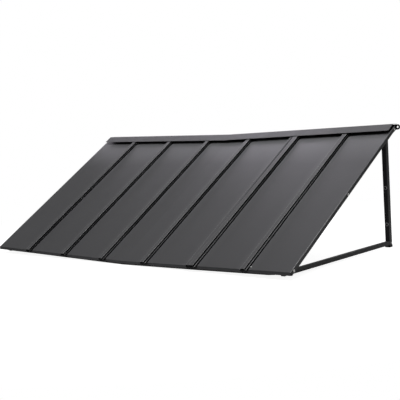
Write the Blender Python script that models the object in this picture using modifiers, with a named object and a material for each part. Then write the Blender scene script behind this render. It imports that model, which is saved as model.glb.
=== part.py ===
"""Door canopy: a pitched sheet-steel roof with raised seams on a bolted tube frame.

The wall that it hangs on is left out. The roof pieces are drawn in the roof's own frame,
where X runs along the wall, Y runs up the slope from the eave and Z stands square off the
sheet. The empty roof_plane carries that frame.
"""
import math

import bmesh
import bpy
from mathutils import Vector

# Overall sizes
CANOPY_WIDTH = 2.032
ROOF_REACH = 0.931
ROOF_PITCH = math.radians(31.7)
EAVE_HEIGHT = 0.0365
CENTRE_DROOP = 0.017
FIT_GAP = 0.0003

# Roof pans, each a folded tray of sheet
PAN_SHEET = 0.0008
PAN_FOLD_RADIUS = 0.002
FIRST_FLAT = 0.2632
LAST_FLAT = 0.2238
RIDGE_ROOM = 0.02375
UPSTAND_HEIGHT = 0.006
UPSTAND_START = 0.022
UPSTAND_STOP = 0.0205
CORNER_CLIP = 0.012
CORNER_CLIP_DEPTH = 0.006
CORNER_CLIP_RUN = 0.0105
FASCIA_DROP = 0.0142
FASCIA_RETURN = 0.006
EDGE_HEM = 0.004
JOINT_INSET = 0.004
JOINT_GAP = 0.001

# Seam caps, each a stepped channel over the upstands of two pans, reaching past the eave
SEAM_COUNT = 6
SEAM_WIDTH = 0.036
SEAM_HEIGHT = 0.016
SEAM_LEDGE = 0.0065
LEDGE_HEIGHT = 0.008
CAP_FOLD_RADIUS = 0.0008
CAP_OVERHANG = 0.0135
DRIP_GAP = 0.0012
WIDE_SEAM = 5
WIDE_EXTRA = 0.0225
WIDE_LAP_LINE = 0.0205
WIDE_OVERLAP = 0.0045

# Seam stops, each a bent tab that closes the lower end of a seam up to its ledges
STOP_INSET = 0.001
STOP_FOOT = 0.014

# Ridge flashing, two lengths lapped at the middle
FLASHING_SHEET = 0.001
FLASHING_LAP = 0.026
LEFT_FLASHING_SLIP = 0.018
FLASHING_COVER = 0.067
FLASHING_FACE = 0.054
FLASHING_LEG = 0.025
LEG_ROOM = 0.002
FLASHING_FOLD_RADIUS = 0.0012

# Roof frame: two rafters and three cross beams, each beam in two halves on a sleeve
RAFTER_WIDTH = 0.025
FRAME_DEPTH = 0.020
BEAM_WIDTH = 0.020
TUBE_WALL = 0.0015
TUBE_CORNER = 0.0022
RAFTER_START = 0.0035
EAVE_BEAM_INSET = 0.024
RIDGE_BEAM_INSET = 0.0125
BEAM_JOINT_GAP = 0.001
SLEEVE_LENGTH = 0.160
SLEEVE_CLEARANCE = 0.0003

# Side brackets: a wall post and a level strut on each side
BRACKET_INSET = 0.051
POST_TUBE = 0.025
STRUT_TUBE = 0.020
STRUT_SETBACK = 0.030
FOOT_HEIGHT = 0.0115
FOOT_PROUD = 0.001
FOOT_ROUND = 0.002
PLUG_CLEARANCE = 0.0005
STRUT_PLUG_PLATE = 0.0025
STRUT_PLUG_LENGTH = 0.012
STRUT_PLUG_HEIGHT = 0.015
SPIGOT_REACH = 0.060
SPIGOT_WALL = 0.002
WALL_HOLE_HEIGHTS = (0.115, 0.296)
WALL_HOLE_RADIUS = 0.00325
DRIVER_HOLE_RADIUS = 0.006

# Wall brackets at the ridge, each with an ear for a wall screw
EAR_PLATE = 0.003
EAR_OUTREACH = 0.005
EAR_RADIUS = 0.013
EAR_HOLE_RADIUS = 0.0065
EAR_ROOM = 0.0013
EAR_KNEE = 0.010
EAR_FLANGE_HEIGHT = 0.030
EAR_FLANGE_ROOM = 0.003

# Fasteners
BOLT_RADIUS = 0.003
BOLT_HEAD_RADIUS = 0.0055
BOLT_HEAD_HEIGHT = 0.0035
BOLT_FLANGE_RADIUS = 0.0065
BOLT_FLANGE_HEIGHT = 0.001
BOLT_GRIP_PAST_RAFTER = 0.012
SIDE_BOLT_LENGTH = 0.008
SCREW_RADIUS = 0.002
SCREW_HEAD_RADIUS = 0.0038
SCREW_HEAD_HEIGHT = 0.0022
SCREW_FLANGE_HEIGHT = 0.0006
SCREW_LENGTH = 0.005
HOLE_CLEARANCE = 0.0003
SPLICE_SCREW_OFFSET = 0.045
PAN_SCREW_BESIDE_SEAM = 0.0045
PAN_SCREW_RISE = 0.018
TURNED_STEPS = 20

# Places that follow from the sizes above
HALF_WIDTH = CANOPY_WIDTH / 2
COS_PITCH = math.cos(ROOF_PITCH)
SIN_PITCH = math.sin(ROOF_PITCH)
WIDE_TOP = SEAM_HEIGHT + PAN_SHEET + FIT_GAP
CAP_REACH = CAP_OVERHANG * COS_PITCH + WIDE_TOP * SIN_PITCH
WALL_Y = (ROOF_REACH + CAP_REACH) / 2
EAVE_Y = WALL_Y - ROOF_REACH
SEAMS_TOGETHER = SEAM_COUNT * SEAM_WIDTH + WIDE_EXTRA
PAN_FLAT = (CANOPY_WIDTH - FIRST_FLAT - LAST_FLAT - SEAMS_TOGETHER) / (SEAM_COUNT - 1)
SLOPE_LENGTH = ROOF_REACH / COS_PITCH - RIDGE_ROOM
UPSTAND_END = SLOPE_LENGTH - UPSTAND_STOP
FLASHING_START = SLOPE_LENGTH - FLASHING_COVER
FLASHING_LENGTH = (CANOPY_WIDTH - LEFT_FLASHING_SLIP + FLASHING_LAP) / 2
RIDGE_BEAM_CENTRE = SLOPE_LENGTH - RIDGE_BEAM_INSET
BEAM_CENTRES = {
    "eave_beam": EAVE_BEAM_INSET,
    "middle_beam": (EAVE_BEAM_INSET + RIDGE_BEAM_CENTRE) / 2,
    "ridge_beam": RIDGE_BEAM_CENTRE,
}
FRAME_TOP = -PAN_SHEET - FIT_GAP
FRAME_MIDDLE = FRAME_TOP - FRAME_DEPTH / 2
FRAME_BOTTOM = FRAME_TOP - FRAME_DEPTH
RAFTER_OUTER = HALF_WIDTH - PAN_SHEET - FIT_GAP
RAFTER_INNER = RAFTER_OUTER - RAFTER_WIDTH
RAFTER_MIDDLE = RAFTER_OUTER - RAFTER_WIDTH / 2
BRACKET_OUTER = HALF_WIDTH - BRACKET_INSET
POST_MIDDLE_X = BRACKET_OUTER - POST_TUBE / 2
POST_INNER = BRACKET_OUTER - POST_TUBE
POST_FRONT_Y = WALL_Y - POST_TUBE
POST_MIDDLE_Y = WALL_Y - POST_TUBE / 2
STRUT_MIDDLE_X = BRACKET_OUTER - STRUT_TUBE / 2
STRUT_INNER = BRACKET_OUTER - STRUT_TUBE
STRUT_MIDDLE_Z = FOOT_HEIGHT + STRUT_TUBE / 2
SPIGOT_SIZE = STRUT_TUBE - 2 * TUBE_WALL - 2 * PLUG_CLEARANCE
STRUT_FRONT_Y = EAVE_Y + STRUT_SETBACK

parts = bpy.data.collections.new("door_canopy")
cutters = bpy.data.collections.new("door_canopy_cutters")


def clear_scene():
    for obj in list(bpy.data.objects):
        bpy.data.objects.remove(obj, do_unlink=True)
    bpy.context.scene.collection.children.link(parts)
    bpy.context.scene.collection.children.link(cutters)


def make_material(name, colour, roughness, metallic=0.0):
    material = bpy.data.materials.new(name)
    material.use_nodes = True
    shader = material.node_tree.nodes["Principled BSDF"]
    shader.inputs["Base Color"].default_value = (*colour, 1.0)
    shader.inputs["Roughness"].default_value = roughness
    shader.inputs["Metallic"].default_value = metallic
    return material


def droop_at(x):
    """How far the roof hangs at a place along it, full at the middle and none at the ends."""
    return CENTRE_DROOP * (1 - abs(x) / HALF_WIDTH)


def underside_height(y, x):
    """Height of the roof frame's underside over a point of the plan."""
    level = EAVE_HEIGHT + (y - EAVE_Y) * math.tan(ROOF_PITCH) + FRAME_BOTTOM / COS_PITCH
    return level - droop_at(x)


def new_object(name, bm, material, on_roof):
    """Make an object of a bmesh, on the roof's frame or on the world's."""
    mesh = bpy.data.meshes.new(name)
    bm.to_mesh(mesh)
    bm.free()
    obj = bpy.data.objects.new(name, mesh)
    if on_roof:
        obj.parent = roof_plane
    if material is None:
        obj.hide_render = True
        obj.display_type = "WIRE"
        cutters.objects.link(obj)
    else:
        mesh.materials.append(material)
        parts.objects.link(obj)
    return obj


def let_hang(obj):
    """Lower a roof piece to the line of the drooping roof, with a crease at the middle."""
    down = Vector((0, 0, -1))
    if obj.parent:
        down = Vector((0, -SIN_PITCH, -COS_PITCH))
    bm = bmesh.new()
    bm.from_mesh(obj.data)
    geometry = bm.verts[:] + bm.edges[:] + bm.faces[:]
    bmesh.ops.bisect_plane(bm, geom=geometry, plane_co=(0, 0, 0), plane_no=(1, 0, 0))
    for vert in bm.verts:
        vert.co += down * droop_at(vert.co.x)
    bm.to_mesh(obj.data)
    bm.free()


def add_solidify(obj, thickness):
    shell = obj.modifiers.new("sheet", "SOLIDIFY")
    shell.thickness = thickness
    shell.offset = -1
    shell.use_even_offset = True


def add_bevel(obj, width, segments=2):
    bevel = obj.modifiers.new("fold", "BEVEL")
    bevel.width = width
    bevel.segments = segments
    bevel.limit_method = "ANGLE"
    bevel.angle_limit = math.radians(30)


def cut(obj, cutter):
    """Take a cutter out of an object. All of an object's cutters are taken out in one step."""
    if "cut" not in obj.modifiers:
        hole = obj.modifiers.new("cut", "BOOLEAN")
        hole.operation = "DIFFERENCE"
        hole.operand_type = "COLLECTION"
        hole.collection = bpy.data.collections.new(f"cut_from_{obj.name}")
        cutters.children.link(hole.collection)
    obj.modifiers["cut"].collection.objects.link(cutter)


def join(obj, piece):
    union = obj.modifiers.new("join", "BOOLEAN")
    union.operation = "UNION"
    union.object = piece


def sweep(bm, edges, step):
    """Pull edges along a step, leaving faces behind; give the new edges and the side edges."""
    result = bmesh.ops.extrude_edge_only(bm, edges=edges)["geom"]
    moved = [item for item in result if isinstance(item, bmesh.types.BMVert)]
    bmesh.ops.translate(bm, verts=moved, vec=step)
    new_edges = [
        item for item in result
        if isinstance(item, bmesh.types.BMEdge) and all(vert in moved for vert in item.verts)
    ]
    side_edges = [
        edge for vert in moved for edge in vert.link_edges
        if len(edge.link_faces) == 1 and edge not in new_edges
    ]
    return new_edges, side_edges


def row_of_edges(bm, points):
    verts = [bm.verts.new(point) for point in points]
    return [bm.edges.new(pair) for pair in zip(verts, verts[1:])]


def face_outward(bm, direction):
    """Turn all faces the same way, with the largest one looking along the direction."""
    bmesh.ops.recalc_face_normals(bm, faces=bm.faces[:])
    largest = max(bm.faces, key=lambda face: face.calc_area())
    if largest.normal.dot(Vector(direction)) < 0:
        bmesh.ops.reverse_faces(bm, faces=bm.faces[:])


def box(low, high):
    """A bmesh box between two corners."""
    low = Vector(low)
    high = Vector(high)
    bm = bmesh.new()
    bmesh.ops.create_cube(bm, size=1.0)
    bmesh.ops.scale(bm, vec=high - low, verts=bm.verts[:])
    bmesh.ops.translate(bm, vec=(low + high) / 2, verts=bm.verts[:])
    return bm


def box_tube(name, low, high, axis, wall, material, on_roof):
    """A square tube between two corners, open at both ends along an axis.

    Frame tubes have rounded corners; the thicker spigots are left square.
    """
    bm = box(low, high)
    ends = [face for face in bm.faces if abs(face.normal[axis]) > 0.5]
    bmesh.ops.delete(bm, geom=ends, context="FACES_ONLY")
    tube = new_object(name, bm, material, on_roof)
    if wall == TUBE_WALL:
        add_bevel(tube, TUBE_CORNER)
    add_solidify(tube, wall)
    return tube


def rod_cutter(name, rods, axis, on_roof):
    """Round cutters along one axis, each given as its centre, radius and length."""
    turn = Vector((0, 0, 1)).rotation_difference(Vector(axis)).to_matrix()
    bm = bmesh.new()
    for centre, radius, length in rods:
        verts = bmesh.ops.create_cone(
            bm, cap_ends=True, segments=TURNED_STEPS, radius1=radius, radius2=radius, depth=length
        )["verts"]
        bmesh.ops.rotate(bm, matrix=turn, verts=verts)
        bmesh.ops.translate(bm, vec=centre, verts=verts)
    return new_object(name, bm, None, on_roof)


def seam_spans():
    """Left and right edge of each seam cap, from left to right."""
    spans = []
    left = -HALF_WIDTH + FIRST_FLAT
    for number in range(1, SEAM_COUNT + 1):
        width = SEAM_WIDTH
        if number == WIDE_SEAM:
            width += WIDE_EXTRA
        spans.append((left, left + width))
        left += width + PAN_FLAT
    return spans


def make_pan(name, left, right, left_fold, right_fold, material):
    """One roof pan. Each side is given as the height that it is folded to, up or down."""
    clip = CORNER_CLIP if right_fold > 0 else 0
    stations = sorted({left, right - clip, right})
    bm = bmesh.new()
    front = row_of_edges(bm, [(x, CORNER_CLIP_DEPTH, 0) for x in stations])
    row = front
    lengths = []
    for start, end in (
        (CORNER_CLIP_DEPTH, UPSTAND_START),
        (UPSTAND_START, UPSTAND_END),
        (UPSTAND_END, SLOPE_LENGTH),
    ):
        row, sides = sweep(bm, row, (0, end - start, 0))
        lengths.append(sorted(sides, key=lambda edge: edge.verts[0].co.x))
    for side, fold in ((0, left_fold), (-1, right_fold)):
        folded = lengths if fold < 0 else lengths[1:2]
        sweep(bm, [sides[side] for sides in folded], (0, 0, fold))
    plumb = Vector((0, -SIN_PITCH, -COS_PITCH))
    level = Vector((0, COS_PITCH, -SIN_PITCH))
    eave, _ = sweep(bm, front[:1], (0, -CORNER_CLIP_DEPTH, 0))
    fascia, _ = sweep(bm, eave, plumb * FASCIA_DROP)
    if clip:
        corner = max(fascia[0].verts, key=lambda vert: vert.co.x)
        corner.co.x += CORNER_CLIP_RUN
    sweep(bm, fascia, level * FASCIA_RETURN)
    face_outward(bm, (0, 0, 1))
    pan = new_object(name, bm, material, True)
    let_hang(pan)
    add_bevel(pan, PAN_FOLD_RADIUS)
    add_solidify(pan, PAN_SHEET)
    return pan


def make_pans(material):
    """A pan between each two seams; neighbours' upstands meet inside the left of a seam cap."""
    joints = [left + JOINT_INSET for left, _ in seam_spans()]
    edge_room = JOINT_GAP / 2 + PAN_SHEET
    lefts = [-HALF_WIDTH] + [joint + edge_room for joint in joints]
    rights = [joint - edge_room for joint in joints] + [HALF_WIDTH]
    last = len(lefts) - 1
    pans = []
    for index, (left, right) in enumerate(zip(lefts, rights)):
        left_fold = -EDGE_HEM if index == 0 else UPSTAND_HEIGHT
        right_fold = -EDGE_HEM if index == last else UPSTAND_HEIGHT
        pans.append(make_pan(f"pan_{index + 1}", left, right, left_fold, right_fold, material))
    return pans


def make_channel(name, start, steps, material):
    """A folded strip as long as a seam, from its first edge and the folds after it."""
    bm = bmesh.new()
    stations = (-CAP_OVERHANG, UPSTAND_END)
    edges = row_of_edges(bm, [(start[0], s, start[1]) for s in stations])
    for across, up in steps:
        edges, _ = sweep(bm, edges, (across, 0, up))
    face_outward(bm, (0, 0, 1))
    strip = new_object(name, bm, material, True)
    let_hang(strip)
    add_bevel(strip, CAP_FOLD_RADIUS)
    add_solidify(strip, PAN_SHEET)
    return strip


def make_seam_caps(material):
    """A cap on each seam. The wide seam has a side strip with a second cap lapped over it."""
    rise = ((0, LEDGE_HEIGHT - FIT_GAP), (SEAM_LEDGE, 0), (0, SEAM_HEIGHT - LEDGE_HEIGHT))
    for number, (left, right) in enumerate(seam_spans(), start=1):
        top_left = left + SEAM_LEDGE
        top_right = right - SEAM_LEDGE
        if number == WIDE_SEAM:
            across = (WIDE_LAP_LINE + WIDE_OVERLAP, 0)
            make_channel("wide_seam_strip", (left, FIT_GAP), rise + (across,), material)
            top_left += WIDE_LAP_LINE
            fall = make_fall(WIDE_TOP)
            across = (top_right - top_left, 0)
            make_channel("wide_seam_cap", (top_left, WIDE_TOP), (across,) + fall, material)
        else:
            fall = make_fall(SEAM_HEIGHT)
            across = (top_right - top_left, 0)
            folds = rise + (across,) + fall
            make_channel(f"seam_cap_{number}", (left, FIT_GAP), folds, material)


def make_fall(top):
    """The folds down the right side of a seam cap, from its top to just above the pan."""
    return ((0, LEDGE_HEIGHT - top), (SEAM_LEDGE, 0), (0, DRIP_GAP - LEDGE_HEIGHT))


def make_seam_stops(material):
    """A bent tab in the lower end of each seam: a foot on the pans and a low front plate."""
    room = PAN_SHEET + FIT_GAP
    front = STOP_INSET - CAP_OVERHANG
    for number, (left, right) in enumerate(seam_spans(), start=1):
        bm = bmesh.new()
        foot = row_of_edges(bm, [(x, STOP_FOOT, FIT_GAP) for x in (left + room, right - room)])
        bend, _ = sweep(bm, foot, (0, front - STOP_FOOT, 0))
        sweep(bm, bend, (0, 0, LEDGE_HEIGHT - room - FIT_GAP))
        face_outward(bm, (0, 0, -1))
        stop = new_object(f"seam_stop_{number}", bm, material, True)
        let_hang(stop)
        add_bevel(stop, CAP_FOLD_RADIUS)
        add_solidify(stop, PAN_SHEET)


def roof_point(s, n):
    """A point of the plan and height, from its place up the slope and off the sheet."""
    return (EAVE_Y + s * COS_PITCH - n * SIN_PITCH, EAVE_HEIGHT + s * SIN_PITCH + n * COS_PITCH)


def make_flashing(name, left, right, lift, material):
    """A ridge flashing: sloping face, level top back to the wall, and a leg between the posts."""
    lap = FLASHING_SHEET + FIT_GAP
    face_height = SEAM_HEIGHT + lap
    top_z = roof_point(FLASHING_START + FLASHING_FACE, face_height)[1] + lift
    fold_s = (top_z - EAVE_HEIGHT - (face_height + lift) * COS_PITCH) / SIN_PITCH
    front_y, front_z = roof_point(FLASHING_START, face_height + lift)
    fold_y, _ = roof_point(fold_s, face_height + lift)
    leg_y = WALL_Y - FIT_GAP - lap + lift
    leg_end = POST_INNER - LEG_ROOM
    stations = sorted({left, right, max(left, -leg_end), min(right, leg_end)})
    bm = bmesh.new()
    row = row_of_edges(bm, [(x, front_y, front_z) for x in stations])
    row, _ = sweep(bm, row, (0, fold_y - front_y, top_z - front_z))
    row, _ = sweep(bm, row, (0, leg_y - fold_y, 0))
    longest = max(row, key=lambda edge: edge.calc_length())
    sweep(bm, [longest], (0, 0, -FLASHING_LEG))
    face_outward(bm, (0, -SIN_PITCH, COS_PITCH))
    flashing = new_object(name, bm, material, False)
    let_hang(flashing)
    add_bevel(flashing, FLASHING_FOLD_RADIUS)
    add_solidify(flashing, FLASHING_SHEET)
    return flashing


def make_flashings(material):
    """The right length laps over the left one at the middle of the ridge."""
    lap = FLASHING_SHEET + FIT_GAP
    left_start = -HALF_WIDTH + LEFT_FLASHING_SLIP
    left_end = left_start + FLASHING_LENGTH
    make_flashing("ridge_flashing_left", left_start, left_end, 0, material)
    right_start = HALF_WIDTH - FLASHING_LENGTH
    make_flashing("ridge_flashing_right", right_start, HALF_WIDTH, lap, material)


def hung(x, s, n):
    """A point of the roof's own frame, lowered with the droop."""
    drop = droop_at(x)
    return Vector((x, s - drop * SIN_PITCH, n - drop * COS_PITCH))


def make_rafter(side, sign, material):
    """A side rafter with a through hole for each beam's end bolt."""
    outer, inner = sorted((sign * RAFTER_OUTER, sign * RAFTER_INNER))
    rafter = box_tube(
        f"rafter_{side}",
        (outer, RAFTER_START, FRAME_BOTTOM),
        (inner, SLOPE_LENGTH, FRAME_TOP),
        1, TUBE_WALL, material, True,
    )
    let_hang(rafter)
    radius = BOLT_RADIUS + HOLE_CLEARANCE
    bolt_holes = [
        (hung(sign * RAFTER_MIDDLE, s, FRAME_MIDDLE), radius, 2 * RAFTER_WIDTH)
        for s in BEAM_CENTRES.values()
    ]
    cut(rafter, rod_cutter(f"cut_rafter_{side}", bolt_holes, (1, 0, 0), True))


def make_turned(name, profile, centre, axis, on_roof, material):
    """A turned piece from its outline, given as radius and height along its axis."""
    bm = bmesh.new()
    row_of_edges(bm, [(radius, 0, height) for radius, height in profile])
    turned = new_object(name, bm, material, on_roof)
    turned.location = centre
    turned.rotation_mode = "QUATERNION"
    turned.rotation_quaternion = Vector((0, 0, 1)).rotation_difference(Vector(axis))
    lathe = turned.modifiers.new("turn", "SCREW")
    lathe.steps = TURNED_STEPS
    lathe.render_steps = TURNED_STEPS
    lathe.use_merge_vertices = True
    lathe.merge_threshold = 0.00001
    lathe.use_smooth_shade = True
    return turned


def domed_outline(head_radius, head_height, flange_radius, flange_height, radius, length):
    """Outline of a domed flange bolt, top to bottom; the flange seats at height zero."""
    dome = []
    for step in range(5):
        angle = math.radians(90 - 18 * step)
        dome.append((
            head_radius * math.cos(angle),
            flange_height + head_height * math.sin(angle),
        ))
    dome[0] = (0, dome[0][1])
    flange = [(head_radius, flange_height), (flange_radius, flange_height), (flange_radius, 0)]
    return dome + flange + [(radius, 0), (radius, -length), (0, -length)]


def make_bolt(name, centre, axis, length, on_roof, material):
    outline = domed_outline(
        BOLT_HEAD_RADIUS, BOLT_HEAD_HEIGHT, BOLT_FLANGE_RADIUS, BOLT_FLANGE_HEIGHT,
        BOLT_RADIUS, length,
    )
    return make_turned(name, outline, centre, axis, on_roof, material)


def make_screw(name, centre, axis, on_roof, material):
    outline = domed_outline(
        SCREW_HEAD_RADIUS, SCREW_HEAD_HEIGHT, SCREW_HEAD_RADIUS + SCREW_FLANGE_HEIGHT,
        SCREW_FLANGE_HEIGHT, SCREW_RADIUS, SCREW_LENGTH,
    )
    return make_turned(name, outline, centre, axis, on_roof, material)


def make_rafter_bolts(side, sign, material):
    """Bright bolts through the rafter into the end of each beam."""
    for name, s in BEAM_CENTRES.items():
        seat = hung(sign * RAFTER_MIDDLE, s, FRAME_MIDDLE)
        seat.x = sign * (RAFTER_OUTER + FIT_GAP)
        length = FIT_GAP + RAFTER_WIDTH + BOLT_GRIP_PAST_RAFTER
        make_bolt(f"{name}_bolt_{side}", seat, (sign, 0, 0), length, True, material)


def make_beams(frame_paint, screw_finish):
    """Three beams across the roof, each two half tubes on a sleeve.

    The sleeve is a driven fit in the left half, and a screw holds the right half on it.
    """
    halves = {}
    sleeve_half = FRAME_DEPTH / 2 - TUBE_WALL - SLEEVE_CLEARANCE
    for name, s in BEAM_CENTRES.items():
        sleeve = box_tube(
            f"{name}_sleeve",
            (-SLEEVE_LENGTH / 2, s - sleeve_half, FRAME_MIDDLE - sleeve_half),
            (SLEEVE_LENGTH / 2, s + sleeve_half, FRAME_MIDDLE + sleeve_half),
            0, TUBE_WALL, frame_paint, True,
        )
        let_hang(sleeve)
        for side, sign in (("left", -1), ("right", 1)):
            ends = sorted((sign * BEAM_JOINT_GAP / 2, sign * (RAFTER_INNER - FIT_GAP)))
            half = box_tube(
                f"{name}_{side}",
                (ends[0], s - BEAM_WIDTH / 2, FRAME_BOTTOM),
                (ends[1], s + BEAM_WIDTH / 2, FRAME_TOP),
                0, TUBE_WALL, frame_paint, True,
            )
            let_hang(half)
            halves[f"{name}_{side}"] = half
        seat = hung(SPLICE_SCREW_OFFSET, s, FRAME_BOTTOM - FIT_GAP)
        make_screw(f"{name}_splice_screw", seat, (0, 0, -1), True, screw_finish)
        place = (SPLICE_SCREW_OFFSET, s, FRAME_BOTTOM)
        hole = (place, SCREW_RADIUS + HOLE_CLEARANCE, 2 * SCREW_LENGTH)
        cutter = rod_cutter(f"cut_{name}_splice", [hole], (0, 0, 1), True)
        let_hang(cutter)
        cut(halves[f"{name}_right"], cutter)
        cut(sleeve, cutter)
    return halves


def make_pan_screw(pan, beam, material):
    """The one bright screw through the last pan, beside the foot of the last seam."""
    x = seam_spans()[-1][1] + PAN_SCREW_BESIDE_SEAM
    make_screw("pan_screw", hung(x, PAN_SCREW_RISE, FIT_GAP), (0, 0, 1), True, material)
    hole = ((x, PAN_SCREW_RISE, 0), SCREW_RADIUS + HOLE_CLEARANCE, 3 * SCREW_LENGTH)
    cutter = rod_cutter("cut_pan_screw", [hole], (0, 0, 1), True)
    let_hang(cutter)
    cut(pan, cutter)
    cut(beam, cutter)


def make_roof_underside_cutter():
    """All that is above the frame's underside, with the droop at the side brackets."""
    drop = droop_at(POST_INNER) * COS_PITCH + FIT_GAP
    bm = box(
        (-CANOPY_WIDTH, -ROOF_REACH, FRAME_BOTTOM - drop),
        (CANOPY_WIDTH, 2 * ROOF_REACH, FRAME_BOTTOM - drop + ROOF_REACH),
    )
    return new_object("cut_roof_underside", bm, None, True)


def make_post(side, sign, roof_cutter, material):
    """A wall post, cut to the slope at its top, with two holes for wall screws."""
    inner, outer = sorted((sign * POST_INNER, sign * BRACKET_OUTER))
    top = underside_height(WALL_Y, POST_INNER) + POST_TUBE
    post = box_tube(
        f"post_{side}", (inner, POST_FRONT_Y, FOOT_HEIGHT), (outer, WALL_Y, top), 2,
        TUBE_WALL, material, False,
    )
    cut(post, roof_cutter)
    middle = sign * POST_MIDDLE_X
    wall_holes = []
    for height in WALL_HOLE_HEIGHTS:
        wall_holes.append(((middle, WALL_Y, height), WALL_HOLE_RADIUS, POST_TUBE))
        wall_holes.append(((middle, POST_FRONT_Y, height), DRIVER_HOLE_RADIUS, POST_TUBE / 2))
    cut(post, rod_cutter(f"cut_wall_holes_{side}", wall_holes, (0, 1, 0), False))
    half = SPIGOT_SIZE / 2 + FIT_GAP
    spigot_x = sign * STRUT_MIDDLE_X
    window = box(
        (spigot_x - half, POST_FRONT_Y - TUBE_WALL, STRUT_MIDDLE_Z - half),
        (spigot_x + half, POST_FRONT_Y + 2 * TUBE_WALL, STRUT_MIDDLE_Z + half),
    )
    cut(post, new_object(f"cut_spigot_window_{side}", window, None, False))
    return post


def make_strut(side, sign, roof_cutter, material):
    """A level strut from the post to the eave beam, cut to the slope at its front."""
    inner, outer = sorted((sign * STRUT_INNER, sign * BRACKET_OUTER))
    strut = box_tube(
        f"strut_{side}",
        (inner, STRUT_FRONT_Y, FOOT_HEIGHT),
        (outer, POST_FRONT_Y - FIT_GAP, FOOT_HEIGHT + STRUT_TUBE),
        1, TUBE_WALL, material, False,
    )
    cut(strut, roof_cutter)


def make_spigot(side, sign, post, material):
    """A short inner tube that joins the strut to the post, held by a bright cross bolt."""
    half = SPIGOT_SIZE / 2
    middle = sign * STRUT_MIDDLE_X
    spigot = box_tube(
        f"spigot_{side}",
        (middle - half, POST_FRONT_Y - SPIGOT_REACH, STRUT_MIDDLE_Z - half),
        (middle + half, WALL_Y - TUBE_WALL - FIT_GAP, STRUT_MIDDLE_Z + half),
        1, SPIGOT_WALL, material, False,
    )
    seat = (sign * BRACKET_OUTER, POST_MIDDLE_Y, STRUT_MIDDLE_Z)
    hole = (seat, BOLT_RADIUS + HOLE_CLEARANCE, POST_TUBE)
    cutter = rod_cutter(f"cut_post_bolt_{side}", [hole], (1, 0, 0), False)
    cut(spigot, cutter)
    cut(post, cutter)
    return spigot


def make_post_bolt(side, sign, material):
    seat = (sign * (BRACKET_OUTER + FIT_GAP), POST_MIDDLE_Y, STRUT_MIDDLE_Z)
    make_bolt(f"post_bolt_{side}", seat, (sign, 0, 0), SIDE_BOLT_LENGTH, False, material)


def raise_plug(bm, direction, inset, length):
    """Step the face that looks along a direction inwards and pull it out as a plug."""
    face = max(bm.faces, key=lambda item: item.normal.dot(Vector(direction)))
    bmesh.ops.inset_region(
        bm, faces=[face], thickness=inset, use_boundary=True, use_even_offset=True
    )
    moved = bmesh.ops.extrude_discrete_faces(bm, faces=[face])["faces"][0]
    bmesh.ops.translate(bm, verts=moved.verts[:], vec=Vector(direction) * length)


def round_edges(bm, edges, width):
    bmesh.ops.bevel(
        bm, geom=edges, offset=width, segments=3, profile=0.5, affect="EDGES", clamp_overlap=True
    )


def make_foot_cap(side, sign, material):
    """A plastic foot under the post, with a shallow boss that ends under the spigot."""
    middle = sign * POST_MIDDLE_X
    half = POST_TUBE / 2 + FOOT_PROUD
    top = FOOT_HEIGHT - FIT_GAP
    bm = box((middle - half, POST_FRONT_Y - FOOT_PROUD, 0), (middle + half, WALL_Y, top))
    round_edges(
        bm,
        [edge for edge in bm.edges if all(vert.co.z < FIT_GAP for vert in edge.verts)],
        FOOT_ROUND,
    )
    clear_of_tube = TUBE_WALL + PLUG_CLEARANCE
    half_boss = POST_TUBE / 2 - clear_of_tube
    boss = box(
        (middle - half_boss, POST_MIDDLE_Y - half_boss, top / 2),
        (middle + half_boss, POST_MIDDLE_Y + half_boss, top + clear_of_tube),
    )
    foot = new_object(f"foot_cap_{side}", bm, material, False)
    join(foot, new_object(f"join_foot_boss_{side}", boss, None, False))
    return foot


def make_strut_plug(side, sign, material):
    """A plastic plug in the front end of the strut, under its sloping cut."""
    middle = sign * STRUT_MIDDLE_X
    half = STRUT_TUBE / 2
    back = STRUT_FRONT_Y - FIT_GAP
    bm = box(
        (middle - half, back - STRUT_PLUG_PLATE, FOOT_HEIGHT),
        (middle + half, back, FOOT_HEIGHT + STRUT_PLUG_HEIGHT),
    )
    front = back - STRUT_PLUG_PLATE + FIT_GAP
    round_edges(
        bm,
        [edge for edge in bm.edges if all(vert.co.y < front for vert in edge.verts)],
        STRUT_PLUG_PLATE / 2,
    )
    raise_plug(bm, (0, 1, 0), TUBE_WALL + PLUG_CLEARANCE, STRUT_PLUG_LENGTH)
    return new_object(f"strut_plug_{side}", bm, material, False)


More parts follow.
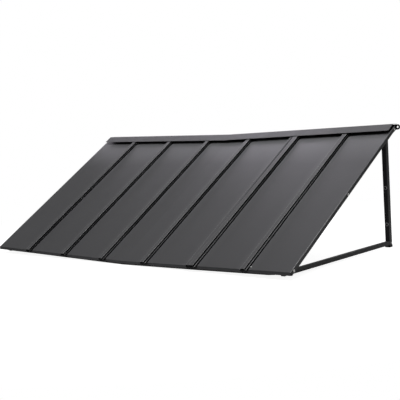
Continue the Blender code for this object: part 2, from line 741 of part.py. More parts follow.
def make_wall_bracket(side, sign, post, material, bolt_finish):
    """A bent plate: a flange bolted to the post's side and an ear on the wall."""
    flashing_under = roof_point(FLASHING_START + FLASHING_FACE, SEAM_HEIGHT + FIT_GAP)[1]
    ear_z = flashing_under - EAR_ROOM - EAR_RADIUS
    ear_x = HALF_WIDTH + EAR_OUTREACH
    flange_top = underside_height(POST_FRONT_Y, POST_INNER) - EAR_FLANGE_ROOM
    flange_bottom = flange_top - EAR_FLANGE_HEIGHT
    root_x = BRACKET_OUTER + FIT_GAP
    arc = []
    for step in range(13):
        angle = math.radians(-90 + 180 * step / 12)
        arc.append((ear_x + EAR_RADIUS * math.cos(angle), ear_z + EAR_RADIUS * math.sin(angle)))
    outline = [(root_x, flange_bottom), (ear_x - EAR_KNEE, ear_z - EAR_RADIUS)]
    outline += arc + [(root_x, ear_z + EAR_RADIUS), (root_x, flange_top)]
    bm = bmesh.new()
    bm.faces.new([bm.verts.new((sign * x, WALL_Y, z)) for x, z in outline])
    face_outward(bm, (0, 1, 0))
    bracket = new_object(f"wall_bracket_{side}", bm, material, False)
    add_solidify(bracket, EAR_PLATE)
    inner, outer = sorted((sign * root_x, sign * (root_x + EAR_PLATE)))
    flange = box((inner, POST_FRONT_Y, flange_bottom), (outer, WALL_Y - EAR_PLATE / 2, flange_top))
    join(bracket, new_object(f"join_bracket_flange_{side}", flange, None, False))
    ear_hole = ((sign * ear_x, WALL_Y, ear_z), EAR_HOLE_RADIUS, 4 * EAR_PLATE)
    cut(bracket, rod_cutter(f"cut_ear_hole_{side}", [ear_hole], (0, 1, 0), False))
    bolt_y = POST_MIDDLE_Y - EAR_PLATE / 2
    bolt_z = flange_top - EAR_FLANGE_HEIGHT / 2
    bolt_hole = ((sign * root_x, bolt_y, bolt_z), BOLT_RADIUS + HOLE_CLEARANCE, POST_TUBE)
    bolt_cutter = rod_cutter(f"cut_bracket_bolt_{side}", [bolt_hole], (1, 0, 0), False)
    cut(bracket, bolt_cutter)
    cut(post, bolt_cutter)
    seat = (sign * (root_x + EAR_PLATE + FIT_GAP), bolt_y, bolt_z)
    make_bolt(
        f"bracket_bolt_{side}", seat, (sign, 0, 0), SIDE_BOLT_LENGTH, False, bolt_finish
    )


clear_scene()

roof_plane = bpy.data.objects.new("roof_plane", None)
parts.objects.link(roof_plane)
roof_plane.location = (0, EAVE_Y, EAVE_HEIGHT)
roof_plane.rotation_euler = (ROOF_PITCH, 0, 0)

roof_paint = make_material("roof_paint", (0.085, 0.086, 0.092), 0.45, 0.2)
cap_paint = make_material("cap_paint", (0.085, 0.086, 0.092), 0.42, 0.2)
flashing_paint = make_material("flashing_paint", (0.09, 0.09, 0.096), 0.42, 0.2)
frame_paint = make_material("frame_paint", (0.05, 0.05, 0.054), 0.5, 0.2)
plate_paint = make_material("plate_paint", (0.02, 0.02, 0.021), 0.5, 0.2)
black_plastic = make_material("black_plastic", (0.012, 0.012, 0.012), 0.6)
bright_zinc = make_material("bright_zinc", (0.62, 0.62, 0.60), 0.3, 1.0)
black_steel = make_material("black_steel", (0.03, 0.03, 0.03), 0.45, 0.6)

pans = make_pans(roof_paint)
make_seam_caps(cap_paint)
make_seam_stops(cap_paint)
make_flashings(flashing_paint)
beams = make_beams(frame_paint, black_steel)
make_pan_screw(pans[-1], beams["eave_beam_right"], bright_zinc)
underside_cutter = make_roof_underside_cutter()
for side_name, side_sign in (("left", -1), ("right", 1)):
    make_rafter(side_name, side_sign, frame_paint)
    make_rafter_bolts(side_name, side_sign, bright_zinc)
    side_post = make_post(side_name, side_sign, underside_cutter, frame_paint)
    make_strut(side_name, side_sign, underside_cutter, frame_paint)
    make_spigot(side_name, side_sign, side_post, frame_paint)
    make_post_bolt(side_name, side_sign, bright_zinc)
    make_foot_cap(side_name, side_sign, black_plastic)
    make_strut_plug(side_name, side_sign, black_plastic)
    make_wall_bracket(side_name, side_sign, side_post, plate_paint, black_steel)
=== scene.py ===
import math

import bmesh
import bpy
from mathutils import Matrix, Vector


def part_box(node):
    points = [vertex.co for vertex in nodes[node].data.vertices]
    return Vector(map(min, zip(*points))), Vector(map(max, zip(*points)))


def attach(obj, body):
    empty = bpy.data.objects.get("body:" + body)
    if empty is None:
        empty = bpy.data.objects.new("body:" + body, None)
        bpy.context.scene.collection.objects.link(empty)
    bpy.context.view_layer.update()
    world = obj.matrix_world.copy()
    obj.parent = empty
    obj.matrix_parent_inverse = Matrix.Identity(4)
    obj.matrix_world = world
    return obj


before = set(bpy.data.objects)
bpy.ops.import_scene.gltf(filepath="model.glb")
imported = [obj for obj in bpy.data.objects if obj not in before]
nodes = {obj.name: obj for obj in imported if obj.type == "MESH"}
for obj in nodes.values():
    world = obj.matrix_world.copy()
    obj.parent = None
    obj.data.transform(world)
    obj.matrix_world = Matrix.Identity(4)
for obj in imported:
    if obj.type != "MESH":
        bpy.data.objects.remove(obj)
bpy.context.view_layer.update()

# The camera as it was fitted to the photograph: place in metres, angles in degrees, lens in millimetres
CAMERA_PLACE = (3.10858, -3.30302, 0.69361)
CAMERA_TURN = 42.0576
CAMERA_TILT = -5.4118
CAMERA_ROLL = -3.5354
CAMERA_LENS = 77.726
SENSOR_WIDTH = 36.0

# Values of the part's source. The eave's Y, the seams' left edges and the lap line are worked out there.
HALF_WIDTH = 1.016
EAVE_Y = -0.455264
EAVE_HEIGHT = 0.0365
CENTRE_DROOP = 0.017
ROOF_PITCH = math.radians(31.7)
FASCIA_DROP = 0.0142
SEAM_LEFT_EDGES = (-0.7528, -0.4555, -0.1582, 0.1391, 0.4364, 0.7562)
LAP_LINE = 0.4634
POST_HOLE_HEIGHTS = (("low", 0.115), ("high", 0.296))
EAR_OUTREACH = 0.005
EAR_PLATE = 0.003
EAR_RADIUS = 0.013

# Near-black tabs of painted shade behind the fascia: their reach to both sides of a seam's left edge, and
# their (y, height) section
TAB_BESIDE = 0.012
TAB_UNDER = 0.010
TAB_PROFILE = ((-0.4538, -0.0128), (-0.4532, -0.0128), (-0.4532, -0.0020), (-0.4538, -0.0020))

# The hem under the eave, near-black as painted shade: its (x, depth below the fascia) stations, and its
# section behind the fascia's face
HEM_STATIONS = (
    (-0.934, 0.0003), (-0.700, 0.0004), (-0.350, 0.0018), (0.0, 0.0028),
    (0.500, 0.0036), (0.900, 0.0028), (0.934, 0.0003))
HEM_LAP = 0.0006
HEM_FRONT = 0.0002
HEM_BACK = 0.0020
HEM_BACK_FOOT = 0.0016

# The dark bead of painted shade in the wide seam's lap: where it runs up the slope, and its widths at both
# ends
BEAD_START = 0.30
BEAD_END = 1.045
BEAD_THIN = 0.0005
BEAD_THICK = 0.0120
BEAD_FLAT = 0.8
BEAD_STEPS = 24

# Rims and bushes in the screw holes, with their sections as (radius, depth behind the face)
RING_STEPS = 32
RIM_PROFILE = ((0.0060, 0.0), (0.0060, -0.0006), (0.0070, -0.0010), (0.0085, -0.0007), (0.0092, 0.0))
BUSH_PROFILE = (
    (0.0051, 0.0028), (0.0051, -0.0004), (0.0058, -0.0008), (0.0085, -0.0006), (0.0090, 0.0),
    (0.0065, 0.0), (0.0065, 0.0028))

# Limits of the masks in the paint. A mask is 0 at the first one and 1 at the second.
NOISE_MIDDLE = (0.3, 0.7)
FOLD_BEND = (0.990, 0.90)
FOLD_SOUND = (0.1, 0.3)
FOLD_IN_OPEN = (0.80, 0.94)
LEANS_RIGHT = (0.05, 0.2)
LEANS_LEFT = (-0.05, -0.2)
FACES_UP = (0.3, 0.6)
FACES_SIDEWAYS = (0.6, 0.9)
FACES_FRONT = (-0.6, -0.8)
ON_FASCIA = (-0.8, -0.95)
LEDGE_HOLLOW = (0.99, 0.93)
SEAM_SHADE_RISE = (-0.12, 0.22)
PAINTED_LIGHT_HOLLOW = (1.0, 0.55)
OUTSIDE_GAPS = (0.50, 0.62)
INSIDE_GAPS = (0.62, 0.50)
BELOW_RIDGE = (0.44, 0.565)
GAIN_RISE = (0.15, 0.45)

# Reaches, strengths and tones in the paint, for its painted highlights on folds, painted shade and painted
# light
LEDGE_REACH = 0.018
PAINTED_LIGHT_REACH = 0.05
LEFT_RIM = 0.3
RIM_FADE_LENGTH = 0.2
RIM_AFTER_FADE = 0.1
HIGHLIGHT_NEVER_FADES = 9.0
SEAM_SHADE_DIRECTION = (-0.3, 0.0, 1.0)
SEAM_SHADE_MOST = 0.95
SEAM_SHADE_ROUGHNESS = 0.85
PAINTED_LIGHT_GAINS = (2.0, 2.8)
RIDGE_PAINTED_LIGHT = 0.45
CLOUD_SHARE = 0.6
SPECK_SHARE = 0.4
SHADED_GAP_TONE = (0.012, 0.012, 0.013)
SHADED_FASCIA_TONE = (0.036, 0.036, 0.038)

# The studio
FLOOR_HALF = 9.0
FLOOR_SINK = 0.0005
FLOOR_TONE = (0.60, 0.60, 0.60)
FLOOR_LIFT = 0.90
WHITE_FROM = 1.0
WHITE_AT = 2.3
ROOM_LIGHT_LEVEL = 0.28
ROOM_LIGHT_ABOVE = 0.36
WHITE = (1.0, 1.0, 1.0)
VIOLET_LIGHT = (0.92, 0.86, 1.0)
PALE_VIOLET_LIGHT = (0.93, 0.88, 1.0)


def add_node(tree, kind, place, **settings):
    made = tree.nodes.new(kind)
    made.location = place
    for key, value in settings.items():
        setattr(made, key, value)
    return made


def noise(tree, place, coordinates, scale, detail, roughness=0.5):
    made = add_node(tree, "ShaderNodeTexNoise", place)
    made.inputs["Scale"].default_value = scale
    made.inputs["Detail"].default_value = detail
    made.inputs["Roughness"].default_value = roughness
    tree.links.new(coordinates, made.inputs["Vector"])
    return made.outputs["Fac"]


def spread(tree, place, value, low, high, out_low, out_high):
    made = add_node(tree, "ShaderNodeMapRange", place)
    made.inputs["From Min"].default_value = low
    made.inputs["From Max"].default_value = high
    made.inputs["To Min"].default_value = out_low
    made.inputs["To Max"].default_value = out_high
    tree.links.new(value, made.inputs["Value"])
    return made.outputs["Result"]


def mask(tree, place, value, limits, most=1.0):
    """0 at the first of the limits, the most at the second, and straight between them."""
    return spread(tree, place, value, *limits, 0.0, most)


def combine(tree, place, operation, first, second):
    made = add_node(tree, "ShaderNodeMath", place, operation=operation)
    tree.links.new(first, made.inputs[0])
    tree.links.new(second, made.inputs[1])
    return made.outputs[0]


def axes(tree, place, vector):
    """The X, Y and Z outputs of a vector."""
    made = add_node(tree, "ShaderNodeSeparateXYZ", place)
    tree.links.new(vector, made.inputs[0])
    return made.outputs


def blend(tree, place, factor, first, second):
    """The first colour faded into the second one. Each is a fixed colour or a socket."""
    made = add_node(tree, "ShaderNodeMix", place, data_type="RGBA")
    tree.links.new(factor, made.inputs["Factor"])
    for colour, socket in ((first, made.inputs["A"]), (second, made.inputs["B"])):
        if isinstance(colour, tuple):
            socket.default_value = (*colour, 1.0)
        else:
            tree.links.new(colour, socket)
    return made.outputs["Result"]


def open_share(tree, place, reach, samples):
    """Ambient occlusion: 1 in the open, and less where other surfaces stand within reach."""
    made = add_node(tree, "ShaderNodeAmbientOcclusion", place, samples=samples)
    made.inputs["Distance"].default_value = reach
    return made.outputs["AO"]


def true_facing(tree, place):
    return add_node(tree, "ShaderNodeNewGeometry", place).outputs["True Normal"]


def mix_shaders(tree, place, factor, first, second):
    made = add_node(tree, "ShaderNodeMixShader", place)
    for value, socket in zip((factor, first, second), made.inputs):
        tree.links.new(value, socket)
    return made.outputs[0]


def new_material(name):
    material = bpy.data.materials.new(name)
    material.use_nodes = True
    tree = material.node_tree
    coordinates = add_node(tree, "ShaderNodeTexCoord", (-1500, 0)).outputs["Object"]
    return material, tree, tree.nodes["Principled BSDF"], coordinates


def blotched_material(name, dark, light, smooth, rough, scale, detail=3.0, ragged=0.5):
    """A new material whose tone and roughness follow one blotchy noise."""
    material, tree, shader, coordinates = new_material(name)
    clouds = noise(tree, (-1200, 300), coordinates, scale, detail, ragged)
    tree.links.new(blend(tree, (-700, 250), clouds, dark, light), shader.inputs["Base Color"])
    roughness = spread(tree, (-900, -60), clouds, *NOISE_MIDDLE, smooth, rough)
    tree.links.new(roughness, shader.inputs["Roughness"])
    return material, tree, shader, coordinates


def raise_grain(tree, shader, grain, strength, distance):
    bump = add_node(tree, "ShaderNodeBump", (-500, -380))
    bump.inputs["Strength"].default_value = strength
    bump.inputs["Distance"].default_value = distance
    tree.links.new(grain, bump.inputs["Height"])
    tree.links.new(bump.outputs["Normal"], shader.inputs["Normal"])
    return bump


def painted_fold_highlights(tree, coordinates, reach, highlight_fades_above):
    """Where the painted highlight lies: nearness to an outer fold on an upward face, from 0 to 1. Left-hand
    folds count less.
    """
    facing = true_facing(tree, (-2300, 700))
    bent = add_node(tree, "ShaderNodeBevel", (-2300, 500), samples=8)
    bent.inputs["Radius"].default_value = reach
    agreement = add_node(tree, "ShaderNodeVectorMath", (-2100, 600), operation="DOT_PRODUCT")
    tree.links.new(bent.outputs["Normal"], agreement.inputs[0])
    tree.links.new(facing, agreement.inputs[1])
    agreed = agreement.outputs["Value"]
    product = mask(tree, (-1900, 700), agreed, FOLD_BEND)
    sound = mask(tree, (-1900, 450), agreed, FOLD_SOUND)
    in_open = mask(tree, (-1900, 200), open_share(tree, (-2300, 250), 2.0 * reach, 6), FOLD_IN_OPEN)
    lean = axes(tree, (-2100, 900), bent.outputs["Normal"])["X"]
    right_hand = mask(tree, (-1900, 950), lean, LEANS_RIGHT)
    left_hand = mask(tree, (-1900, 800), lean, LEANS_LEFT, LEFT_RIM)
    either_hand = combine(tree, (-1700, 900), "ADD", right_hand, left_hand)
    on_top = mask(tree, (-1900, 1150), axes(tree, (-2100, 1100), facing)["Z"], FACES_UP)
    height = axes(tree, (-2100, 1300), coordinates)["Z"]
    low = spread(
        tree, (-1900, 1350), height, highlight_fades_above, highlight_fades_above + RIM_FADE_LENGTH, 1.0, RIM_AFTER_FADE)
    for step, factor in enumerate((sound, in_open, either_hand, on_top, low)):
        product = combine(tree, (-1700 + 150 * step, 600), "MULTIPLY", product, factor)
    return product


def painted_seam_shade(tree, coordinates):
    """Painted shade on the seams' upright sides and front ends, and on their ledges too towards the ridge.
    """
    facing = axes(tree, (-1200, 900), true_facing(tree, (-1350, 900)))
    sideways = add_node(tree, "ShaderNodeMath", (-1050, 900), operation="ABSOLUTE")
    tree.links.new(facing["X"], sideways.inputs[0])
    upright = combine(
        tree, (-700, 850), "MAXIMUM",
        mask(tree, (-880, 900), sideways.outputs[0], FACES_SIDEWAYS),
        mask(tree, (-880, 750), facing["Y"], FACES_FRONT))
    hollow = mask(tree, (-1150, 1150), open_share(tree, (-1350, 1150), LEDGE_REACH, 16), LEDGE_HOLLOW)
    along = add_node(tree, "ShaderNodeVectorMath", (-1350, 1400), operation="DOT_PRODUCT")
    tree.links.new(coordinates, along.inputs[0])
    along.inputs[1].default_value = SEAM_SHADE_DIRECTION
    high = mask(tree, (-1150, 1400), along.outputs["Value"], SEAM_SHADE_RISE, SEAM_SHADE_MOST)
    ledge = combine(tree, (-950, 1250), "MULTIPLY", hollow, high)
    return combine(tree, (-700, 1050), "MAXIMUM", upright, ledge)


def painted_pan_light_and_shade(tree, colour, coordinates):
    """Painted shade on the front-facing fascia, painted light beside seams and under the flashing, and
    painted shade in deep gaps.
    """
    facing = axes(tree, (-1200, 900), true_facing(tree, (-1350, 900)))
    # Painted shade: faces turned to the front take the darker fascia tone.
    on_fascia = mask(tree, (-1050, 900), facing["Y"], ON_FASCIA)
    colour = blend(tree, (-900, 700), on_fascia, colour, SHADED_FASCIA_TONE)
    # Painted light: pans beside seams and just below the ridge are lightened where occlusion would shade
    # them.
    opened = open_share(tree, (-1350, 1150), PAINTED_LIGHT_REACH, 16)
    hollow = mask(tree, (-1150, 1150), opened, PAINTED_LIGHT_HOLLOW)
    outside = mask(tree, (-1150, 1350), opened, OUTSIDE_GAPS)
    height = axes(tree, (-1350, 1550), coordinates)["Z"]
    below_ridge = mask(tree, (-1150, 1550), height, BELOW_RIDGE, RIDGE_PAINTED_LIGHT)
    painted_light_share = combine(tree, (-1050, 1350), "MAXIMUM", hollow, below_ridge)
    lit = combine(tree, (-950, 1250), "MULTIPLY", painted_light_share, outside)
    gain = spread(tree, (-900, 1550), height, *GAIN_RISE, *PAINTED_LIGHT_GAINS)
    lighter = add_node(tree, "ShaderNodeVectorMath", (-700, 900), operation="SCALE")
    tree.links.new(colour, lighter.inputs[0])
    tree.links.new(gain, lighter.inputs["Scale"])
    colour = blend(tree, (-500, 700), lit, colour, lighter.outputs["Vector"])
    # Painted shade: deep gaps, such as under the flashing, turn near-black.
    inside = mask(tree, (-500, 1100), opened, INSIDE_GAPS)
    return blend(tree, (-300, 900), inside, colour, SHADED_GAP_TONE)


def powder_coat(name, dark, light, smooth, rough, gloss, edge, rim, reach, highlight_fades_above=HIGHLIGHT_NEVER_FADES,
                sides=None, pan_light_and_shade=False):
    """Baked powder paint: an almost even tone, painted highlights on outer folds, a soft sheen and a fine
    orange-peel skin.
    """
    material, tree, shader, coordinates = new_material(name)
    clouds = noise(tree, (-1200, 300), coordinates, scale=5.0, detail=4.0, roughness=0.6)
    specks = noise(tree, (-1200, 60), coordinates, scale=900.0, detail=2.0, roughness=0.7)
    tone = add_node(tree, "ShaderNodeMath", (-950, 200), operation="MULTIPLY_ADD")
    tree.links.new(clouds, tone.inputs[0])
    tone.inputs[1].default_value = CLOUD_SHARE
    tree.links.new(mask(tree, (-1150, 180), specks, NOISE_MIDDLE, SPECK_SHARE), tone.inputs[2])
    colour = blend(tree, (-700, 250), tone.outputs[0], dark, light)
    # Painted highlight: outer folds are lightened towards the rim tone.
    folds = painted_fold_highlights(tree, coordinates, reach, highlight_fades_above)
    colour = blend(tree, (-250, 350), folds, colour, (rim, rim, rim))
    smears = noise(tree, (-1200, -180), coordinates, scale=14.0, detail=5.0, roughness=0.65)
    roughness = spread(tree, (-900, -120), smears, *NOISE_MIDDLE, smooth, rough)
    # Painted shade: the seams' upright sides, front ends and ledges towards the ridge take the dark sides
    # tone.
    if sides:
        seam_shade = painted_seam_shade(tree, coordinates)
        colour = blend(tree, (-500, 700), seam_shade, colour, sides)
        dull = add_node(tree, "ShaderNodeMix", (-250, 0), data_type="FLOAT")
        tree.links.new(seam_shade, dull.inputs["Factor"])
        tree.links.new(roughness, dull.inputs["A"])
        dull.inputs["B"].default_value = SEAM_SHADE_ROUGHNESS
        roughness = dull.outputs["Result"]
    # The pans take painted light and painted shade.
    if pan_light_and_shade:
        colour = painted_pan_light_and_shade(tree, colour, coordinates)
    tree.links.new(colour, shader.inputs["Base Color"])
    tree.links.new(roughness, shader.inputs["Roughness"])
    shader.inputs["Specular IOR Level"].default_value = gloss
    peel = noise(tree, (-1200, -420), coordinates, scale=620.0, detail=3.0, roughness=0.55)
    bump = raise_grain(tree, shader, peel, strength=0.35, distance=0.00012)
    rounded = add_node(tree, "ShaderNodeBevel", (-800, -560), samples=6)
    rounded.inputs["Radius"].default_value = edge
    tree.links.new(rounded.outputs["Normal"], bump.inputs["Normal"])
    return material


def moulded_plastic(name, dark, light):
    """Black injection-moulded plastic with a fine even grain."""
    material, tree, shader, coordinates = blotched_material(
        name, dark, light, smooth=0.42, rough=0.58, scale=60.0)
    shader.inputs["Specular IOR Level"].default_value = 0.45
    grain = noise(tree, (-1200, -300), coordinates, scale=2600.0, detail=2.0)
    raise_grain(tree, shader, grain, strength=0.5, distance=0.00006)
    return material


def plated_metal(name, dark, light, smooth, rough):
    """Zinc plating over steel: a patchy tone and a fine grain."""
    material, tree, shader, coordinates = blotched_material(
        name, dark, light, smooth, rough, scale=420.0, detail=4.0, ragged=0.6)
    shader.inputs["Metallic"].default_value = 1.0
    grain = noise(tree, (-1200, -300), coordinates, scale=3200.0, detail=2.0)
    raise_grain(tree, shader, grain, strength=0.4, distance=0.00004)
    return material


def plain_finish(name, dark, light, smooth, rough, gloss, scale):
    """A plain matt finish for a small added piece, with fine blotches."""
    material, tree, shader, coordinates = blotched_material(name, dark, light, smooth, rough, scale)
    shader.inputs["Specular IOR Level"].default_value = gloss
    return material


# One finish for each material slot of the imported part
FINISHES = {
    # The pans take painted light and shade as well as painted highlights on their folds.
    "roof_sheet": powder_coat(
        "anthracite_roof", (0.072, 0.072, 0.0755), (0.084, 0.084, 0.0875), smooth=0.33, rough=0.41,
        gloss=0.25, edge=0.0006, rim=0.42, reach=0.0050, highlight_fades_above=0.22, pan_light_and_shade=True),
    # The seams' sides tone is a near-black painted shade.
    "seam_sheet": powder_coat(
        "anthracite_seam", (0.084, 0.084, 0.0875), (0.097, 0.097, 0.1005), smooth=0.36, rough=0.44,
        gloss=0.20, edge=0.0006, rim=0.60, reach=0.0030, sides=(0.004, 0.004, 0.0045)),
    "flashing_sheet": powder_coat(
        "anthracite_flashing", (0.078, 0.078, 0.081), (0.090, 0.090, 0.093), smooth=0.44, rough=0.52,
        gloss=0.22, edge=0.0006, rim=0.22, reach=0.0022),
    "frame_tube": powder_coat(
        "black_tube", (0.028, 0.028, 0.029), (0.038, 0.038, 0.039), smooth=0.36, rough=0.46,
        gloss=0.35, edge=0.0010, rim=0.14, reach=0.0022),
    "bracket_plate": powder_coat(
        "black_plate", (0.012, 0.012, 0.012), (0.018, 0.018, 0.018), smooth=0.30, rough=0.42,
        gloss=0.50, edge=0.0004, rim=0.04, reach=0.0012),
    "black_plastic": moulded_plastic(
        "black_moulding", (0.010, 0.010, 0.010), (0.017, 0.017, 0.017)),
    "bright_fastener": plated_metal(
        "bright_zinc", (0.55, 0.55, 0.54), (0.78, 0.78, 0.77), smooth=0.22, rough=0.36),
    "dark_fastener": plated_metal(
        "dark_zinc", (0.16, 0.16, 0.16), (0.24, 0.24, 0.24), smooth=0.34, rough=0.48),
}


def paint_nodes():
    for part in nodes.values():
        for slot in part.material_slots:
            slot.material = FINISHES[slot.material.name]


def add_skin(name, rows, closed, material):
    """A solid skinned over rows of points: a ring when closed, and otherwise capped at both ends."""
    shape = bmesh.new()
    loops = [[shape.verts.new(point) for point in row] for row in rows]
    following_loops = loops[1:] + loops[:1] if closed else loops[1:]
    for near, far in zip(loops, following_loops):
        for index in range(len(near)):
            following = (index + 1) % len(near)
            shape.faces.new((near[index], near[following], far[following], far[index]))
    if not closed:
        shape.faces.new(loops[0][::-1])
        shape.faces.new(loops[-1])
    bmesh.ops.recalc_face_normals(shape, faces=shape.faces[:])
    mesh = bpy.data.meshes.new(name)
    shape.to_mesh(mesh)
    shape.free()
    mesh.materials.append(material)
    piece = bpy.data.objects.new(name, mesh)
    bpy.context.scene.collection.objects.link(piece)
    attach(piece, "root")


def sag_at(x):
    """How far the roof droops at x: most at its middle, and nothing at its ends."""
    return CENTRE_DROOP * (1.0 - abs(x) / HALF_WIDTH)


def back_fascia_notches():
    """Folded tabs that close the pans' clipped fascia corners from behind, beside each seam, near-black as
    painted shade.
    """
    # The tabs' near-black tone is painted shade.
    fold = plain_finish(
        "shadowed_fold", (0.006, 0.006, 0.006), (0.010, 0.010, 0.010), smooth=0.55, rough=0.70,
        gloss=0.2, scale=90.0)
    for number, left in enumerate(SEAM_LEFT_EDGES, start=1):
        rows = []
        for x in (left - TAB_BESIDE, left + TAB_UNDER):
            rows.append([(x, y, EAVE_HEIGHT - sag_at(x) + z) for y, z in TAB_PROFILE])
        add_skin("fascia_tab_%d" % number, rows, False, fold)


def hem_the_eave():
    """A thin hem that hangs just below the fascia and follows the drooping eave, near-black as painted
    shade.
    """
    rows = []
    for x, depth in HEM_STATIONS:
        foot = EAVE_HEIGHT - sag_at(x) - FASCIA_DROP
        rows.append([
            (x, EAVE_Y + HEM_FRONT, foot + HEM_LAP),
            (x, EAVE_Y + HEM_BACK, foot + HEM_LAP),
            (x, EAVE_Y + HEM_BACK_FOOT, foot - depth),
            (x, EAVE_Y + HEM_FRONT, foot - depth)])
    # The hem's near-black tone is painted shade along the fascia's lower edge.
    dark_hem = plain_finish(
        "eave_hem", (0.010, 0.010, 0.011), (0.018, 0.018, 0.019), smooth=0.50, rough=0.65,
        gloss=0.3, scale=120.0)
    add_skin("eave_hem", rows, False, dark_hem)


def shade_wide_lap():
    """A thin dark bead in the wide seam's lap, thicker towards the ridge: painted shade along the lap line.
    """
    across = Vector((1.0, 0.0, 0.0))
    uphill = Vector((0.0, math.cos(ROOF_PITCH), math.sin(ROOF_PITCH)))
    outward = across.cross(uphill)
    start = Vector((0.0, EAVE_Y, EAVE_HEIGHT))

    def point_on_roof(x, up_slope, height):
        sag = Vector((0.0, 0.0, sag_at(x)))
        return start + across * x + uphill * up_slope + outward * height - sag

    def height_on_roof(point):
        sag = Vector((0.0, 0.0, sag_at(point.x)))
        return (point + sag - start).dot(outward)

    strip_top = max(height_on_roof(vertex.co) for vertex in nodes["wide_seam_strip"].data.vertices)
    cap_top = max(height_on_roof(vertex.co) for vertex in nodes["wide_seam_cap"].data.vertices)
    rows = []
    for step in range(BEAD_STEPS + 1):
        share = step / BEAD_STEPS
        up_slope = BEAD_START + (BEAD_END - BEAD_START) * share
        width = BEAD_THIN + (BEAD_THICK - BEAD_THIN) * share
        section = (
            (LAP_LINE, strip_top), (LAP_LINE, cap_top),
            (LAP_LINE - BEAD_FLAT * width, cap_top), (LAP_LINE - width, strip_top))
        rows.append([point_on_roof(x, up_slope, height) for x, height in section])
    # The bead's near-black tone is painted shade.
    lap_shade = plain_finish(
        "lap_shade_line", (0.006, 0.006, 0.007), (0.014, 0.014, 0.015), smooth=0.50, rough=0.65,
        gloss=0.2, scale=240.0)
    add_skin("lap_shade_line", rows, False, lap_shade)


def add_ring(name, centre, profile, material):
    """A ring about a hole that opens to the front, with its profile turned about Y."""
    rows = []
    for step in range(RING_STEPS):
        turn = 2.0 * math.pi * step / RING_STEPS
        rows.append([
            (centre[0] + radius * math.cos(turn), centre[1] + depth, centre[2] + radius * math.sin(turn))
            for radius, depth in profile])
    add_skin(name, rows, True, material)


def ring_the_holes():
    """Pale rims around the posts' screw holes, and a black bush in each wall bracket's ear."""
    pale = plain_finish(
        "pale_rim", (0.36, 0.36, 0.365), (0.44, 0.44, 0.445), smooth=0.40, rough=0.55,
        gloss=0.4, scale=300.0)
    black = plain_finish(
        "black_bush", (0.008, 0.008, 0.008), (0.012, 0.012, 0.012), smooth=0.50, rough=0.65,
        gloss=0.2, scale=300.0)
    for side, sign in (("left", -1.0), ("right", 1.0)):
        low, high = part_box("post_" + side)
        for level, z in POST_HOLE_HEIGHTS:
            hole = ((low.x + high.x) / 2.0, low.y, z)
            add_ring("hole_rim_%s_%s" % (side, level), hole, RIM_PROFILE, pale)
        low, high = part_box("wall_bracket_" + side)
        ear = (sign * (HALF_WIDTH + EAR_OUTREACH), high.y - EAR_PLATE, high.z - EAR_RADIUS)
        add_ring("ear_bush_%s" % side, ear, BUSH_PROFILE, black)


def make_floor():
    """A pale floor. The camera sees it rise to plain white away from the canopy's soft shadow."""
    shape = bmesh.new()
    bmesh.ops.create_grid(shape, x_segments=1, y_segments=1, size=FLOOR_HALF)
    mesh = bpy.data.meshes.new("studio_floor")
    shape.to_mesh(mesh)
    shape.free()
    floor = bpy.data.objects.new("studio_floor", mesh)
    bpy.context.scene.collection.objects.link(floor)
    floor.location = (0.0, 0.0, -FLOOR_SINK)
    material = bpy.data.materials.new("studio_floor")
    material.use_nodes = True
    tree = material.node_tree
    tree.nodes.clear()
    out = add_node(tree, "ShaderNodeOutputMaterial", (600, 0))
    matt = add_node(tree, "ShaderNodeBsdfDiffuse", (-400, 100))
    matt.inputs["Color"].default_value = (*FLOOR_TONE, 1.0)
    lift = add_node(tree, "ShaderNodeEmission", (-400, -60))
    lift.inputs["Strength"].default_value = FLOOR_LIFT
    lifted = add_node(tree, "ShaderNodeAddShader", (-150, 40))
    tree.links.new(matt.outputs[0], lifted.inputs[0])
    tree.links.new(lift.outputs[0], lifted.inputs[1])
    white = add_node(tree, "ShaderNodeEmission", (-400, -200))
    coordinates = add_node(tree, "ShaderNodeTexCoord", (-1200, -300)).outputs["Object"]
    length = add_node(tree, "ShaderNodeVectorMath", (-1000, -300), operation="LENGTH")
    tree.links.new(coordinates, length.inputs[0])
    away = mask(tree, (-800, -300), length.outputs["Value"], (WHITE_FROM, WHITE_AT))
    seen = mix_shaders(tree, (50, 0), away, lifted.outputs[0], white.outputs[0])
    camera_ray = add_node(tree, "ShaderNodeLightPath", (50, 300)).outputs["Is Camera Ray"]
    surface = mix_shaders(tree, (350, 0), camera_ray, matt.outputs[0], seen)
    tree.links.new(surface, out.inputs["Surface"])
    mesh.materials.append(material)


def make_world():
    """Soft room light, stronger from above than from the sides, with a white backdrop for the camera."""
    world = bpy.data.worlds.new("studio")
    bpy.context.scene.world = world
    world.use_nodes = True
    tree = world.node_tree
    tree.nodes.clear()
    out = add_node(tree, "ShaderNodeOutputWorld", (600, 0))
    direction = add_node(tree, "ShaderNodeTexCoord", (-900, 0)).outputs["Generated"]
    up = axes(tree, (-700, 0), direction)["Z"]
    strength = spread(tree, (-450, 0), up, 0.0, 1.0, ROOM_LIGHT_LEVEL, ROOM_LIGHT_ABOVE)
    room = add_node(tree, "ShaderNodeBackground", (-150, 0))
    tree.links.new(strength, room.inputs["Strength"])
    backdrop = add_node(tree, "ShaderNodeBackground", (-150, -150))
    backdrop.inputs["Color"].default_value = (*WHITE, 1.0)
    camera_ray = add_node(tree, "ShaderNodeLightPath", (-150, 350)).outputs["Is Camera Ray"]
    surface = mix_shaders(tree, (300, 0), camera_ray, room.outputs[0], backdrop.outputs[0])
    tree.links.new(surface, out.inputs["Surface"])


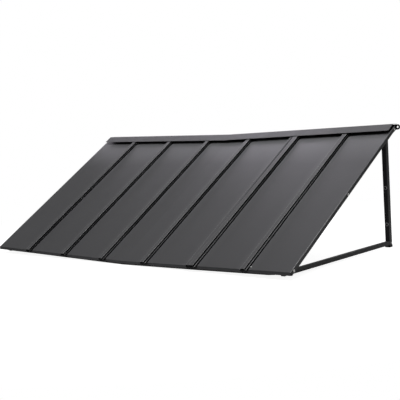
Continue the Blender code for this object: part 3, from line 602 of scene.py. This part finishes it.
def add_softbox(name, place, aim, width, height, power, colour, sheen_only=False):
    """A lamp that the camera never sees. A sheen-only one gives gloss and no matt light."""
    lamp = bpy.data.lights.new(name, "AREA")
    lamp.color = colour
    lamp.shape = "RECTANGLE"
    lamp.size = width
    lamp.size_y = height
    lamp.energy = power
    holder = bpy.data.objects.new(name, lamp)
    bpy.context.scene.collection.objects.link(holder)
    holder.location = place
    towards = Vector(aim) - Vector(place)
    holder.rotation_euler = towards.to_track_quat("-Z", "Y").to_euler()
    holder.visible_camera = False
    holder.visible_diffuse = not sheen_only


def light_the_studio():
    """A gloss bank and a glow above the ridge, the main lamp overhead, and a weak one at the right."""
    add_softbox(
        "bank_above_ridge", place=(-0.74, 0.80, 0.94), aim=(-0.74, 0.55, 0.30),
        width=2.1, height=0.36, power=5.7, colour=PALE_VIOLET_LIGHT, sheen_only=True)
    add_softbox(
        "ridge_glow", place=(-0.2, 1.05, 1.50), aim=(-0.2, 0.35, 0.4),
        width=1.8, height=0.6, power=4.0, colour=VIOLET_LIGHT)
    add_softbox(
        "overhead", place=(0.8, -0.2, 3.6), aim=(0.2, -0.1, 0.0),
        width=2.4, height=2.4, power=83.0, colour=WHITE)
    add_softbox(
        "side_fill", place=(3.4, -0.6, 1.2), aim=(0.3, 0.0, 0.3),
        width=1.6, height=1.6, power=2.2, colour=WHITE)


def add_camera():
    turn = math.radians(CAMERA_TURN)
    tilt = math.radians(CAMERA_TILT)
    roll = math.radians(CAMERA_ROLL)
    ahead = Vector((-math.sin(turn) * math.cos(tilt), math.cos(turn) * math.cos(tilt), math.sin(tilt)))
    level = Vector((math.cos(turn), math.sin(turn), 0.0))
    above = level.cross(ahead)
    right = level * math.cos(roll) + above * math.sin(roll)
    up = above * math.cos(roll) - level * math.sin(roll)
    camera = bpy.data.objects.new("camera", bpy.data.cameras.new("camera"))
    bpy.context.scene.collection.objects.link(camera)
    camera.matrix_world = Matrix((
        (right.x, up.x, -ahead.x, CAMERA_PLACE[0]),
        (right.y, up.y, -ahead.y, CAMERA_PLACE[1]),
        (right.z, up.z, -ahead.z, CAMERA_PLACE[2]),
        (0.0, 0.0, 0.0, 1.0),
    ))
    camera.data.lens = CAMERA_LENS
    camera.data.sensor_width = SENSOR_WIDTH
    bpy.context.scene.camera = camera


paint_nodes()
back_fascia_notches()
hem_the_eave()
shade_wide_lap()
ring_the_holes()
make_floor()
make_world()
light_the_studio()
add_camera()
bpy.context.scene.view_settings.view_transform = "Standard"
